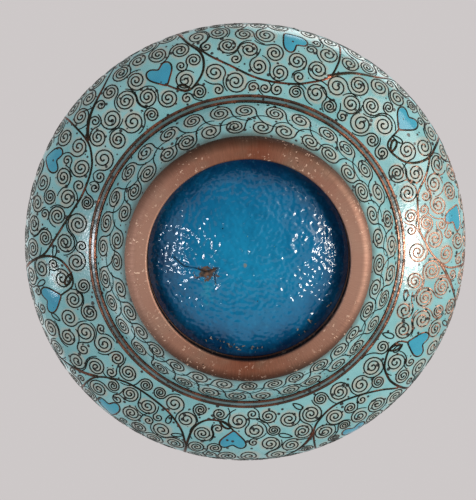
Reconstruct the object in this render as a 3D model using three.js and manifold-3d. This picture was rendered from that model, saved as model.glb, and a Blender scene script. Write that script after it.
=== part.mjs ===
// A small bottle vase in cloisonne: copper shells covered with enamel, with copper wires
// standing on the copper between the enamel fields. Millimetres, +Z up, origin on the
// axis at the plane that the foot ring stands on.

import * as THREE from "three";
import { mergeVertices } from "three/addons/utils/BufferGeometryUtils.js";
import Module from "manifold-3d";

const wasm = await Module();
wasm.setup();

// ---- driving dimensions (mm) ----
const segments = 32; // facets round the axis
const bellyRadius = 45;
const bellyZ = 23.5; // height of the widest plane
const footInnerRadius = 19.6;
const footOuterRadius = 24;
const footEdgeZ = 2.6; // where the foot ring ends and the enamelled collar starts
const footFlangeRadius = 21.6; // flange inside the ring that holds the base disc
const footFlangeTop = 6;
const enamelThickness = 0.9;
const copperThickness = 1;
const liningThickness = 0.5; // counter-enamel inside
const bond = 0.03; // gap between fused layers
const wireStep = 0.06; // how far a border wire stands out
const neckRadius = 11.6;
const mouthRadius = 17.6;
const mouthZ = 112.8;
const mouthBeadRadius = 1.45;
const baseRadius = 19.5;
const baseApexZ = 0.5; // lowest point of the bulging base
const baseRise = 4;
const baseBulgePower = 2.6;
const baseEnamelThickness = 0.6;
const baseDiscThickness = 0.8;
const heartWidth = 5;
const heartStretch = 1.05; // height against the heart curve
const heartPoints = 12;
const cellWall = 0.3; // thickness of the wire round a heart
const heartGap = 0.05;

// Depths of the layers below the outer surface.
const copperNear = enamelThickness + bond;
const copperFar = copperNear + copperThickness;
const liningNear = copperFar + bond;
const liningFar = liningNear + liningThickness;

// ---- materials ----
const wornCopper = { color: 0xa07764, roughness: 0.45, metalness: 1 };
const darkCopper = { color: 0x6d4a38, roughness: 0.5, metalness: 1 };
const turquoise = { color: 0x7ec4c4, roughness: 0.18, metalness: 0 };
const borderBlue = { color: 0x4c6d80, roughness: 0.22, metalness: 0 };
const heartBlue = { color: 0x2e9bb5, roughness: 0.15, metalness: 0 };
const deepBlue = { color: 0x17628c, roughness: 0.15, metalness: 0 };

// ---- outer surface, from the foot up, as (radius, height) curves ----
const v = (r, z) => new THREE.Vector2(r, z);
const bezier = (a, b, c, d) => new THREE.CubicBezierCurve(a, b, c, d);

const collarCurve = bezier(v(footOuterRadius, footEdgeZ), v(26.06, 5.05), v(28.46, 7.9), v(29.87, 10.55));
const footStripCurve = bezier(v(29.9, 10.58), v(30.4, 10.72), v(30.9, 10.86), v(31.4, 11.03));
const lowerBellyCurve = bezier(v(31.43, 11.04), v(39.4, 13.5), v(bellyRadius, 17), v(bellyRadius, bellyZ - bond / 2));
const upperBellyCurve = bezier(v(bellyRadius, bellyZ + bond / 2), v(bellyRadius, 34.5), v(35.5, 44), v(22.6, 48.8));
const shoulderStripCurve = bezier(v(22.57, 48.81), v(22.1, 48.99), v(21.6, 49.17), v(21.1, 49.36));
const neckCurves = [
  bezier(v(21.07, 49.37), v(15.2, 51.6), v(12.2, 55.5), v(neckRadius, 63)),
  bezier(v(neckRadius, 63), v(10.9, 72), v(11, 88), v(12.4, 97)),
];
const mouthStripCurve = bezier(v(12.41, 97.03), v(12.48, 97.5), v(12.57, 98), v(12.67, 98.5));
const mouthCurve = bezier(v(12.68, 98.53), v(13.7, 104.5), v(15.2, 108.6), v(mouthRadius, mouthZ));

// Points of a curve with the direction that points out of the vase.
function outline(curve, steps) {
  const samples = [];
  for (let i = 0; i <= steps; i += 1) {
    const along = curve.getTangent(i / steps);
    samples.push({ point: curve.getPoint(i / steps), out: v(along.y, -along.x) });
  }
  return samples;
}

// Several curves joined end to end.
function joinedOutline(curves, steps) {
  return curves.flatMap((curve, i) => outline(curve, steps[i]).slice(i === 0 ? 0 : 1));
}

// Closed section between two depths below the outer surface.
function layer(samples, near, far) {
  const sink = (depth) => samples.map((s) => s.point.clone().addScaledVector(s.out, -depth));
  return [...sink(near), ...sink(far).reverse()];
}

function arc(centre, radiusR, radiusZ, fromDegrees, toDegrees, steps) {
  const points = [];
  for (let i = 0; i <= steps; i += 1) {
    const angle = THREE.MathUtils.degToRad(fromDegrees + ((toDegrees - fromDegrees) * i) / steps);
    points.push(v(centre.x + radiusR * Math.cos(angle), centre.y + radiusZ * Math.sin(angle)));
  }
  return points;
}

// ---- solids ----
function signedVolume(geometry) {
  const position = geometry.getAttribute("position");
  const index = geometry.getIndex();
  const [a, b, c] = [new THREE.Vector3(), new THREE.Vector3(), new THREE.Vector3()];
  let sum = 0;
  for (let i = 0; i < index.count; i += 3) {
    a.fromBufferAttribute(position, index.getX(i));
    b.fromBufferAttribute(position, index.getX(i + 1));
    c.fromBufferAttribute(position, index.getX(i + 2));
    sum += a.dot(b.cross(c)) / 6;
  }
  return sum;
}

// Position-only copy with shared vertices merged and faces pointing out.
function weld(geometry) {
  const bare = geometry.clone();
  bare.deleteAttribute("normal");
  bare.deleteAttribute("uv");
  const merged = mergeVertices(bare, 1e-4);
  const kept = [];
  const index = merged.getIndex();
  for (let i = 0; i < index.count; i += 3) {
    const [p, q, r] = [index.getX(i), index.getX(i + 1), index.getX(i + 2)];
    if (p !== q && q !== r && r !== p) {
      kept.push(p, q, r);
    }
  }
  merged.setIndex(kept);
  if (signedVolume(merged) < 0) {
    for (let i = 0; i < kept.length; i += 3) {
      [kept[i + 1], kept[i + 2]] = [kept[i + 2], kept[i + 1]];
    }
    merged.setIndex(kept);
  }
  return merged;
}

// Turned piece from a section that closes on itself, or that starts and ends on the axis.
function turned(section) {
  const onAxis = section[0].x === 0 && section[section.length - 1].x === 0;
  const profile = onAxis ? section : [...section, section[0]];
  const geometry = new THREE.LatheGeometry(profile, segments);
  geometry.rotateX(Math.PI / 2);
  return weld(geometry);
}

function toManifold(geometry) {
  const vertProperties = Float32Array.from(geometry.getAttribute("position").array);
  const triVerts = Uint32Array.from(geometry.getIndex().array);
  return new wasm.Manifold(new wasm.Mesh({ numProp: 3, vertProperties, triVerts }));
}

function fromManifold(solid) {
  const mesh = solid.getMesh();
  const geometry = new THREE.BufferGeometry();
  geometry.setAttribute("position", new THREE.BufferAttribute(Float32Array.from(mesh.vertProperties), 3));
  geometry.setIndex(Array.from(mesh.triVerts));
  return geometry;
}

const vase = new THREE.Group();

function addNode(name, geometry, finish) {
  const flat = geometry.toNonIndexed();
  flat.computeVertexNormals();
  const mesh = new THREE.Mesh(flat, new THREE.MeshStandardMaterial(finish));
  mesh.name = name;
  vase.add(mesh);
}

// ---- foot ----
function footRingSection() {
  const along = collarCurve.getTangent(0);
  const seat = v(footOuterRadius, footEdgeZ).addScaledVector(along, -bond);
  const seatInner = seat.clone().addScaledVector(v(along.y, -along.x), -(liningFar + bond));
  return [
    v(footInnerRadius, 0.4),
    v(footInnerRadius + 0.4, 0),
    ...arc(v(21.9, 2.3), footOuterRadius - 21.9, 2.3, -90, 0, 4),
    seat,
    seatInner,
    v(footFlangeRadius, seatInner.y + 0.2),
    v(footFlangeRadius, footFlangeTop),
    v(footInnerRadius, footFlangeTop),
  ];
}

// Height of the bulging base at a radius.
function baseHeight(radius) {
  return baseApexZ + baseRise * (radius / baseRadius) ** baseBulgePower;
}

function baseLayer(low, high) {
  const radii = [0, 0.45, 0.75, 0.9, 1].map((share) => share * baseRadius);
  const surface = (lift) => radii.map((r) => v(r, baseHeight(r) + lift));
  return [...surface(low), ...surface(high).reverse()];
}

// ---- borders: a narrow strip of enamel between two wire rings ----
const wireShare = [0.24, 0.3]; // width of each wire as a share of the strip

function stripSection(curve, from, to, proud) {
  const samples = [from, to].map((t) => {
    const along = curve.getTangent(t);
    return { point: curve.getPoint(t), out: v(along.y, -along.x) };
  });
  return layer(samples, -proud, enamelThickness);
}

function addBorder(place, curve, lowerName, upperName) {
  const gap = bond / curve.getLength();
  const [lowWidth, highWidth] = wireShare;
  addNode(`${place}_border_wire_${lowerName}`, turned(stripSection(curve, 0, lowWidth, wireStep)), darkCopper);
  addNode(`${place}_border_enamel`, turned(stripSection(curve, lowWidth + gap, 1 - highWidth - gap, 0)), borderBlue);
  addNode(`${place}_border_wire_${upperName}`, turned(stripSection(curve, 1 - highWidth, 1, wireStep)), darkCopper);
}

// ---- hearts: an enamel fill in its own wire cell, let into the belly enamel ----
function heartOutline(grow) {
  const unit = heartWidth / 32; // the heart curve is 32 units wide
  const size = 1 + grow / (heartWidth / 2);
  const points = [];
  for (let i = 0; i < heartPoints; i += 1) {
    const t = (2 * Math.PI * i) / heartPoints;
    const x = -(7.5 * Math.sin(t) ** 3 + 8.5 * Math.sin(t)); // anticlockwise from the notch
    const y = 12.6 * Math.cos(t) - 4.6 * Math.cos(2 * t) - 1.5 * Math.cos(3 * t) - 0.8 * Math.cos(4 * t) + 3;
    points.push(v(x * unit * size, y * unit * heartStretch * size));
  }
  return points;
}

// A prism of a heart outline at its place on a curve, between two levels along the normal.
function heartPrism(curve, heart, shape, low, high) {
  const geometry = new THREE.ExtrudeGeometry(shape, { depth: high - low, bevelEnabled: false });
  geometry.translate(0, 0, low);
  geometry.rotateZ(THREE.MathUtils.degToRad(heart.turn));
  const spot = curve.getPoint(heart.t);
  const along = curve.getTangent(heart.t);
  const azimuth = THREE.MathUtils.degToRad(heart.azimuth);
  const [cos, sin] = [Math.cos(azimuth), Math.sin(azimuth)];
  const placed = new THREE.Matrix4().makeBasis(
    new THREE.Vector3(-sin, cos, 0),
    new THREE.Vector3(along.x * cos, along.x * sin, along.y),
    new THREE.Vector3(along.y * cos, along.y * sin, -along.x),
  );
  placed.setPosition(spot.x * cos, spot.x * sin, spot.y);
  geometry.applyMatrix4(placed);
  return weld(geometry);
}

function addHeart(name, number, curve, heart) {
  const cell = new THREE.Shape(heartOutline(cellWall));
  cell.holes.push(new THREE.Path(heartOutline(0)));
  addNode(`${name}_heart_cell_${number}`, heartPrism(curve, heart, cell, -enamelThickness, wireStep), darkCopper);
  const fill = new THREE.Shape(heartOutline(-heartGap));
  addNode(`${name}_heart_enamel_${number}`, heartPrism(curve, heart, fill, -enamelThickness, 0), heartBlue);
}

// The enamel skin of one half of the belly, with a pocket right through it for each heart.
function addHeartedSkin(name, curve, steps, rows) {
  const pocketReach = 2;
  let skin = toManifold(turned(layer(outline(curve, steps), 0, enamelThickness)));
  for (const row of rows) {
    row.hearts.forEach((heart, i) => {
      const pocket = new THREE.Shape(heartOutline(cellWall + heartGap));
      skin = skin.subtract(toManifold(heartPrism(curve, heart, pocket, -pocketReach, pocketReach)));
      addHeart(row.name, i + 1, curve, heart);
    });
  }
  addNode(name, fromManifold(skin), turquoise);
}

// Hearts by their place: azimuth, share of the way along the belly curve, and turn.
// Turn 0 has the notch away from the foot.
const nearHearts = [
  { azimuth: 29, t: 0.37, turn: 12 },
  { azimuth: 94, t: 0.35, turn: 0 },
  { azimuth: 166.5, t: 0.41, turn: 10 },
  { azimuth: 244.5, t: 0.33, turn: 4 },
  { azimuth: 321, t: 0.43, turn: 6 },
];
const sideHearts = [
  { azimuth: 60, t: 0.77, turn: 170 },
  { azimuth: 130, t: 0.67, turn: 215 },
  { azimuth: 205, t: 0.65, turn: 190 },
  { azimuth: 281.5, t: 0.65, turn: 225 },
  { azimuth: 350.5, t: 0.63, turn: 233 },
];
const upperHearts = [17, 89, 161, 233, 305].map((azimuth) => ({ azimuth, t: 0.47, turn: 180 }));

// ---- assembly ----
const lowerSteps = 5;
const upperSteps = 5;
const collarOutline = outline(collarCurve, 3);
const lowerOutline = outline(lowerBellyCurve, lowerSteps);
const upperOutline = outline(upperBellyCurve, upperSteps);
const neckOutline = joinedOutline(neckCurves, [3, 2]);
const mouthOutline = outline(mouthCurve, 2);
const footBridge = outline(footStripCurve, 1)[0]; // the copper runs on under the borders
const shoulderBridge = outline(shoulderStripCurve, 1)[1];
const neckWall = [...neckOutline, ...mouthOutline];

function addFoot() {
  addNode("foot_ring", turned(footRingSection()), wornCopper);
  addNode("base_enamel", turned(baseLayer(0, baseEnamelThickness)), deepBlue);
  const discLow = baseEnamelThickness + bond;
  const discHigh = discLow + baseDiscThickness;
  addNode("base_disc", turned(baseLayer(discLow, discHigh)), darkCopper);
  addNode("base_lining", turned(baseLayer(discHigh + bond, discHigh + bond + liningThickness)), deepBlue);
  addNode("foot_collar", turned(layer(collarOutline, copperNear, copperFar)), darkCopper);
  addNode("foot_collar_enamel", turned(layer(collarOutline, 0, enamelThickness)), turquoise);
}

function addBelly() {
  addNode("belly_lower_shell", turned(layer([footBridge, ...lowerOutline], copperNear, copperFar)), darkCopper);
  addNode("belly_upper_shell", turned(layer([...upperOutline, shoulderBridge], copperNear, copperFar)), darkCopper);
  const lowerRows = [
    { name: "lower", hearts: nearHearts },
    { name: "side", hearts: sideHearts },
  ];
  addHeartedSkin("belly_lower_enamel", lowerBellyCurve, lowerSteps, lowerRows);
  const upperRows = [{ name: "upper", hearts: upperHearts }];
  addHeartedSkin("belly_upper_enamel", upperBellyCurve, upperSteps, upperRows);
}

function addNeck() {
  addNode("neck_tube", turned(layer(neckWall, copperNear, copperFar)), darkCopper);
  addNode("neck_enamel", turned(layer(neckOutline, 0, enamelThickness)), turquoise);
  addNode("mouth_enamel", turned(layer(mouthOutline, 0, enamelThickness)), turquoise);
}

// One coat of blue counter-enamel covers the inside from the foot to the mouth.
function addLining() {
  const inside = [
    ...collarOutline,
    footBridge,
    ...lowerOutline,
    ...upperOutline.slice(1),
    shoulderBridge,
    ...neckWall,
  ];
  addNode("body_lining", turned(layer(inside, liningNear, liningFar)), deepBlue);
}

// A rounded bead closes the top edges of copper, enamel and lining.
function addMouthRim() {
  const along = mouthCurve.getTangent(1);
  const out = v(along.y, -along.x);
  const centreLift = 0.52;
  const centre = v(mouthRadius, mouthZ)
    .addScaledVector(out, -liningFar / 2)
    .addScaledVector(along, centreLift + bond);
  const lean = THREE.MathUtils.radToDeg(Math.atan2(along.y, along.x));
  const sweep = 90 + THREE.MathUtils.radToDeg(Math.asin(centreLift / mouthBeadRadius));
  const bead = arc(centre, mouthBeadRadius, mouthBeadRadius, lean - sweep, lean + sweep, 7);
  addNode("mouth_rim", turned(bead), wornCopper);
}

addFoot();
addBorder("foot", footStripCurve, "inner", "outer");
addBelly();
addBorder("shoulder", shoulderStripCurve, "lower", "upper");
addNeck();
addBorder("mouth", mouthStripCurve, "lower", "upper");
addLining();
addMouthRim();

export default vase;
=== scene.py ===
import math
import random

import bpy
import numpy as np
from mathutils import Euler, Matrix, Vector, noise


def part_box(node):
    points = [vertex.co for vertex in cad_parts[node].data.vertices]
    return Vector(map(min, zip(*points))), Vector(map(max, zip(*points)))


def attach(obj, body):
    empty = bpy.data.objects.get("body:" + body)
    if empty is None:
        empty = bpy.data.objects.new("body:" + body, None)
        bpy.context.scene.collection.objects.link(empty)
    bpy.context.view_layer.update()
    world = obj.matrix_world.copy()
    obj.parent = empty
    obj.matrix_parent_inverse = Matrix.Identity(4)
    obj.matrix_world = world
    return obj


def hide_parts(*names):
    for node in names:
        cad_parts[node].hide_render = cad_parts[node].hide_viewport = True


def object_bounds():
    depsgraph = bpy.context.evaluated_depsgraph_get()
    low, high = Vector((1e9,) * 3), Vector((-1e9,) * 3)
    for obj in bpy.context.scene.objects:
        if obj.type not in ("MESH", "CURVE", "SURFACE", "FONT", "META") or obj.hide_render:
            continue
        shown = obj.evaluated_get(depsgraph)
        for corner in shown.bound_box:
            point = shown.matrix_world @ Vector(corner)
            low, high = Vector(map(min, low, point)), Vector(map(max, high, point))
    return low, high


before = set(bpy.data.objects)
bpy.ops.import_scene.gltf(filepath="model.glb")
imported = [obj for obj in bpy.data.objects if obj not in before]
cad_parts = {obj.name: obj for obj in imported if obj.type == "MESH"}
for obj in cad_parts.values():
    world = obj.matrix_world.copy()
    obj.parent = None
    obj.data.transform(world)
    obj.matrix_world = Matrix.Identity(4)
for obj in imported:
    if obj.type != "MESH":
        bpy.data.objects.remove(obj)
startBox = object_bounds()
bellyDrawnWidth = 90  # the belly in the drawing's millimetres
unit = (startBox[1].x - startBox[0].x) / bellyDrawnWidth  # metres for one drawn millimetre
print("frame loaded,", len(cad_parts), "nodes, drawn millimetre is", round(unit * 1000, 4), "mm")


# ---- colours and nodes ----
def hexColour(code):  # sRGB hex to linear
    values = []
    for i in (1, 3, 5):
        c = int(code[i:i + 2], 16) / 255
        values.append(c / 12.92 if c <= 0.04045 else ((c + 0.055) / 1.055) ** 2.4)
    return (*values, 1.0)


# An input takes a value, a hex colour or the socket that feeds it.
def addNode(tree, kind, inputs=None, **settings):
    node = tree.nodes.new(kind)
    for key, value in settings.items():
        setattr(node, key, value)
    for key, value in (inputs or {}).items():
        if isinstance(value, bpy.types.NodeSocket):
            tree.links.new(value, node.inputs[key])
        elif isinstance(value, str) and value.startswith("#"):
            node.inputs[key].default_value = hexColour(value)
        else:
            node.inputs[key].default_value = value
    return node


# An empty material, its tree and the point being shaded.
def newMaterial(name):
    material = bpy.data.materials.new(name)
    material.use_nodes = True
    tree = material.node_tree
    tree.nodes.clear()
    return material, tree, addNode(tree, "ShaderNodeTexCoord").outputs["Object"]


# The surface itself, with a bump of a depth in millimetres.
def addSurface(tree, look, height, depth):
    bump = addNode(tree, "ShaderNodeBump", {"Height": height, "Distance": depth * unit})
    shader = addNode(tree, "ShaderNodeBsdfPrincipled", {**look, "Normal": bump.outputs[0]})
    addNode(tree, "ShaderNodeOutputMaterial", {"Surface": shader.outputs[0]})


# Colours laid one over another, each one where its pattern is and as strongly as given.
def layered(tree, colour, *layers):
    for pattern, strength, top in layers:
        if strength < 1:
            faded = addNode(tree, "ShaderNodeMath", {0: pattern, 1: strength}, operation="MULTIPLY")
            pattern = faded.outputs[0]
        mixed = addNode(tree, "ShaderNodeMix", {0: pattern, 6: colour, 7: top}, data_type="RGBA")
        colour = mixed.outputs[2]
    return colour


# Noise with features of a real size in millimetres, stretched to run from 0 to 1.
def grain(tree, point, size, detail=2.0, low=0.35, high=0.65):
    texture = addNode(tree, "ShaderNodeTexNoise", {
        "Vector": point, "Scale": 1 / (size * unit), "Detail": detail,
    })
    stretched = addNode(tree, "ShaderNodeMapRange", {
        "Value": texture.outputs[0], "From Min": low, "From Max": high,
    })
    return stretched.outputs[0]


# Round marks scattered through the material: 1 inside a mark, 0 outside. Ragged ones are
# pushed out of shape by up to about half the millimetres given.
def marks(tree, point, spacing, size, share, ragged=0.0):
    if ragged:
        warp = addNode(tree, "ShaderNodeTexNoise", {
            "Vector": point, "Scale": 1 / (0.4 * unit), "Detail": 1.0,
        })
        shift = addNode(tree, "ShaderNodeVectorMath", {
            0: warp.outputs["Color"], 1: (0.5, 0.5, 0.5),
        }, operation="SUBTRACT")
        shift = addNode(tree, "ShaderNodeVectorMath", {
            0: shift.outputs[0], "Scale": ragged * unit,
        }, operation="SCALE")
        point = addNode(tree, "ShaderNodeVectorMath", {0: point, 1: shift.outputs[0]}).outputs[0]
    cells = addNode(tree, "ShaderNodeTexVoronoi", {"Vector": point, "Scale": 1 / (spacing * unit)})
    draws = addNode(tree, "ShaderNodeSeparateColor", {"Color": cells.outputs["Color"]}).outputs
    reach = addNode(tree, "ShaderNodeMath", {0: draws["Green"], 1: size / spacing}, operation="MULTIPLY")
    inside = addNode(tree, "ShaderNodeMath", {
        0: cells.outputs["Distance"], 1: reach.outputs[0],
    }, operation="LESS_THAN")
    chosen = addNode(tree, "ShaderNodeMath", {0: draws["Red"], 1: share}, operation="LESS_THAN")
    both = addNode(tree, "ShaderNodeMath", {
        0: inside.outputs[0], 1: chosen.outputs[0],
    }, operation="MULTIPLY")
    return both.outputs[0]


# One soft-edged spot round a line through (x, y), with its reach in mm: 1 inside, 0 outside.
def nearSpot(tree, point, spot, soft=0.5, stretch=(1, 1)):
    x, y, reach = spot
    gap = addNode(tree, "ShaderNodeVectorMath", {0: point, 1: (x * unit, y * unit, 0)}, operation="SUBTRACT")
    flat = addNode(tree, "ShaderNodeVectorMath", {0: gap.outputs[0], 1: (*stretch, 0)}, operation="MULTIPLY")
    away = addNode(tree, "ShaderNodeVectorMath", {0: flat.outputs[0]}, operation="LENGTH")
    rough = addNode(tree, "ShaderNodeMath", {
        0: grain(tree, point, 0.9, 3), 1: 0.9 * reach * unit, 2: away.outputs["Value"],
    }, operation="MULTIPLY_ADD")
    shade = addNode(tree, "ShaderNodeMapRange", {
        "Value": rough.outputs[0], "From Min": reach * unit * (1.45 - soft), "From Max": reach * unit * 1.45,
        "To Min": 1.0, "To Max": 0.0,
    })
    return shade.outputs[0]


# ---- materials ----
# Opaque glass enamel: fired coats polished flat, milky blue-green, with black pinholes from
# burst bubbles, a greyer tone inside the wire coils (partly copper stain, partly painted shade
# between the close turns) and painted shade darkening it next to the foot ring.
enamelLook = {
    "pinholeSpacing": 1.0, "pinholeSize": 0.42,
    "coilShadeAndStain": 0.85,
    "lensIndex": 1.62, "roughness": 0.2,
    # painted shade darkens the enamel next to the foot ring up to this height
    "cornerShadeUpTo": 3.0, "cornerShadeFade": 1.4,  # mm above the table
}


def firedEnamel(name, main, pale, deep, pinholeShare, coil=None):
    material, tree, point = newMaterial(name)
    streaks = grain(tree, point, 2.2, 4, 0.5, 0.8)
    colour = layered(tree, main, (grain(tree, point, 9, 3), 1, pale), (streaks, 0.45, deep))
    # Partly copper stain and partly painted shade: a greyer tone inside the wire coils, where the turns lie
    # close.
    if coil:
        tint = addNode(tree, "ShaderNodeMath", {
            0: addNode(tree, "ShaderNodeAttribute", attribute_name="coil").outputs["Fac"],
            1: grain(tree, point, 1.2, 2, 0.2, 0.6),
        }, operation="MULTIPLY")
        colour = layered(tree, colour, (tint.outputs[0], enamelLook["coilShadeAndStain"], coil))
    # Painted shade: the enamel is painted darker low down, next to the foot ring, with a ragged top.
    level = addNode(tree, "ShaderNodeSeparateXYZ", {"Vector": point}).outputs["Z"]
    ragged = addNode(tree, "ShaderNodeMath", {
        0: streaks, 1: 0.8 * unit, 2: level,
    }, operation="MULTIPLY_ADD")
    grimeAndShade = addNode(tree, "ShaderNodeMapRange", {
        "Value": ragged.outputs[0],
        "From Min": enamelLook["cornerShadeUpTo"] * unit,
        "From Max": (enamelLook["cornerShadeUpTo"] + enamelLook["cornerShadeFade"]) * unit,
        "To Min": 0.75, "To Max": 0.0,
    })
    holes = marks(tree, point, enamelLook["pinholeSpacing"], enamelLook["pinholeSize"], pinholeShare)
    colour = layered(tree, colour, (grimeAndShade.outputs[0], 1, "#3c3a2e"), (holes, 1, "#16201f"))
    ripple = addNode(tree, "ShaderNodeMath", {
        0: grain(tree, point, 0.9, 2, 0.2, 0.8), 1: 0.5,
    }, operation="MULTIPLY")
    height = addNode(tree, "ShaderNodeMath", {0: ripple.outputs[0], 1: holes}, operation="SUBTRACT")
    addSurface(tree, {
        "Base Color": colour, "Roughness": enamelLook["roughness"], "IOR": enamelLook["lensIndex"],
    }, height.outputs[0], 0.05)
    return material


# Drawn copper wire, ground flush and left unpolished: nearly black-green patina with red
# copper where it has been rubbed, and a painted highlight: bright copper on the side that
# faces the right-hand lamps.
wireLook = {"patchSize": 3.5, "speckSize": 0.35, "soot": "#1d2420", "bright": "#d09c84",
            "paintedGlintSpot": (38.0, 0.0, 9.5)}  # x, y and reach in mm


def patinatedWire(name, dark, red, rubbed, soot):
    material, tree, point = newMaterial(name)
    patches = grain(tree, point, wireLook["patchSize"], 3, rubbed, rubbed + 0.22)
    specks = grain(tree, point, wireLook["speckSize"], 2, 0.45, 0.7)
    # painted highlight: the wires are painted bright copper round this spot on the right-hand side
    paintedGlint = nearSpot(tree, point, wireLook["paintedGlintSpot"], 0.6, (1, 0.5))
    colour = layered(tree, dark, (patches, 1, red), (specks, soot, wireLook["soot"]),
                     (paintedGlint, 0.8, wireLook["bright"]))
    roughness = addNode(tree, "ShaderNodeMapRange", {"Value": specks, "To Min": 0.3, "To Max": 0.5})
    addSurface(tree, {"Base Color": colour, "Metallic": 1.0, "Roughness": roughness.outputs[0]}, specks, 0.03)
    return material


# Turned copper, worn bare by standing: warm brown with redder and greyer clouds, painted paler
# towards the left and right as a painted sheen, with fine radial rubbing, dark grime specks,
# short scratches and bright nicks.
copperLook = {
    "middle": 22,  # mm from the axis, where round spacings are true
    "rubSpacing": 0.22, "rubLength": 3,  # real rubbing is finer; drawn this coarse so that it shows
    "scratchSpacing": 0.9, "scratchLength": 2.4,
    # where the foot gets painted shade: its outer edge and its inner wall
    "shadedEdge": (21.6, 23.8),  # mm from the axis
    "shadedWall": (0.5, 1.1),  # mm above the table, and nearer the axis than:
    "wallReach": 19.9,
}


# Ring coordinates: steps of the given millimetres round the ring and along its radius.
def ringSteps(tree, angle, reach, roundStep, radialStep):
    turns = addNode(tree, "ShaderNodeMath", {
        0: angle, 1: copperLook["middle"] / roundStep,
    }, operation="MULTIPLY")
    rows = addNode(tree, "ShaderNodeMath", {0: reach, 1: 1 / (radialStep * unit)}, operation="MULTIPLY")
    return addNode(tree, "ShaderNodeCombineXYZ", {"X": turns.outputs[0], "Y": rows.outputs[0]}).outputs[0]


# Painted shade: the foot's outer edge, where it rolls away from the light, is darkened except
# on the two lit sides, and its inner wall down in the well is darkened.
def shadedFoot(tree, colour, level, reach, side):
    low, high = copperLook["shadedEdge"]
    outer = addNode(tree, "ShaderNodeMapRange", {
        "Value": reach, "From Min": low * unit, "From Max": high * unit,
    })
    squared = addNode(tree, "ShaderNodeMath", {0: side, 1: 2.0}, operation="POWER")
    spared = addNode(tree, "ShaderNodeMath", {
        0: squared.outputs[0], 1: -0.8, 2: 1.0,
    }, operation="MULTIPLY_ADD")
    edge = addNode(tree, "ShaderNodeMath", {
        0: outer.outputs[0], 1: spared.outputs[0],
    }, operation="MULTIPLY")
    low, high = copperLook["shadedWall"]
    raised = addNode(tree, "ShaderNodeMapRange", {
        "Value": level, "From Min": low * unit, "From Max": high * unit,
    })
    inward = addNode(tree, "ShaderNodeMath", {
        0: reach, 1: copperLook["wallReach"] * unit,
    }, operation="LESS_THAN")
    wall = addNode(tree, "ShaderNodeMath", {
        0: raised.outputs[0], 1: inward.outputs[0],
    }, operation="MULTIPLY")
    return layered(tree, colour, (edge.outputs[0], 0.9, "#35271e"), (wall.outputs[0], 1, "#241b15"))


def wornCopper(name, main, red, grey, pale, rubbing, stained):
    material, tree, point = newMaterial(name)
    parts = addNode(tree, "ShaderNodeSeparateXYZ", {"Vector": point}).outputs
    angle = addNode(tree, "ShaderNodeMath", {0: parts["Y"], 1: parts["X"]}, operation="ARCTAN2").outputs[0]
    reach = addNode(tree, "ShaderNodeVectorMath", {0: point}, operation="LENGTH").outputs["Value"]
    rub = addNode(tree, "ShaderNodeTexNoise", {
        "Vector": ringSteps(tree, angle, reach, copperLook["rubSpacing"], copperLook["rubLength"]),
        "Scale": 1.0, "Detail": 3.0,
    })
    lines = addNode(tree, "ShaderNodeMapRange", {
        "Value": rub.outputs[0], "From Min": 0.35, "From Max": 0.7,
    })
    lines = addNode(tree, "ShaderNodeMath", {0: lines.outputs[0], 1: rubbing}, operation="MULTIPLY")
    lines = lines.outputs[0]
    # Painted sheen: the copper is painted paler towards the left and right sides, where the side lamps shine.
    across = addNode(tree, "ShaderNodeMath", {0: parts["X"]}, operation="ABSOLUTE")
    side = addNode(tree, "ShaderNodeMath", {0: across.outputs[0], 1: reach}, operation="DIVIDE")
    side = addNode(tree, "ShaderNodeMath", {0: side.outputs[0], 1: 1.5}, operation="POWER").outputs[0]
    redder = grain(tree, point, 11, 3)
    greyer = grain(tree, point, 7, 4, 0.5, 0.75)
    colour = layered(tree, main, (redder, 1, red), (greyer, 1, grey), (lines, 0.35, "#5a3c2c"),
                     (side, 0.75, pale))
    # the foot gets painted shade on its outer edge and inner wall
    if stained:
        colour = shadedFoot(tree, colour, parts["Z"], reach, side)
    chips = marks(tree, point, 0.6, 0.26, 0.45, 1.2)
    steps = ringSteps(tree, angle, reach, copperLook["scratchSpacing"], copperLook["scratchLength"])
    scratches = marks(tree, steps, 1 / unit, 0.22 / unit, 0.3)
    knocked = grain(tree, point, 9, 2, 0.42, 0.6)
    chips, scratches = (
        addNode(tree, "ShaderNodeMath", {0: pattern, 1: knocked}, operation="MULTIPLY").outputs[0]
        for pattern in (chips, scratches)
    )
    nicks = addNode(tree, "ShaderNodeMath", {0: chips, 1: scratches}, operation="MAXIMUM").outputs[0]
    beside = addNode(tree, "ShaderNodeVectorMath", {0: point, 1: (0.03, 0.02, 0.01)}).outputs[0]
    grimeAndShade = marks(tree, beside, 1.3, 0.18, 0.3)
    colour = layered(tree, colour, (nicks, 0.85, "#edcdb6"), (grimeAndShade, 0.8, "#3a2a20"))
    roughness = addNode(tree, "ShaderNodeMapRange", {"Value": lines, "To Min": 0.56, "To Max": 0.7})
    rubbed = addNode(tree, "ShaderNodeMath", {0: lines, 1: 0.4}, operation="MULTIPLY")
    height = addNode(tree, "ShaderNodeMath", {0: rubbed.outputs[0], 1: nicks}, operation="SUBTRACT")
    addSurface(tree, {
        "Base Color": colour, "Metallic": 1.0, "Roughness": roughness.outputs[0],
    }, height.outputs[0], 0.04)
    return material


# Thick blue counter-enamel, poured rather than ground, so glassy: clouds, pale flecks, black
# specks and an orange-peel skin. On the underside it is painted lighter over the crown and darker
# in the well, as painted shade.
baseMarks = {  # x, y and reach in mm
    "chip": (-8.1, 2.5, 1.75),
    "streak": (-8.0, 6.2, 1.3),
    "crownMark": (-0.7, 1.0, 0.45),
    "dot": (-5.0, -6.2, 0.2),
}
counterLook = {
    "crownTo": (5, 17), "wellFrom": (16, 21.5),  # mm from the axis
    "roughness": 0.06, "chipRoughness": 0.6, "skinSize": 0.75, "skinDepth": 0.06,
}


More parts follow.
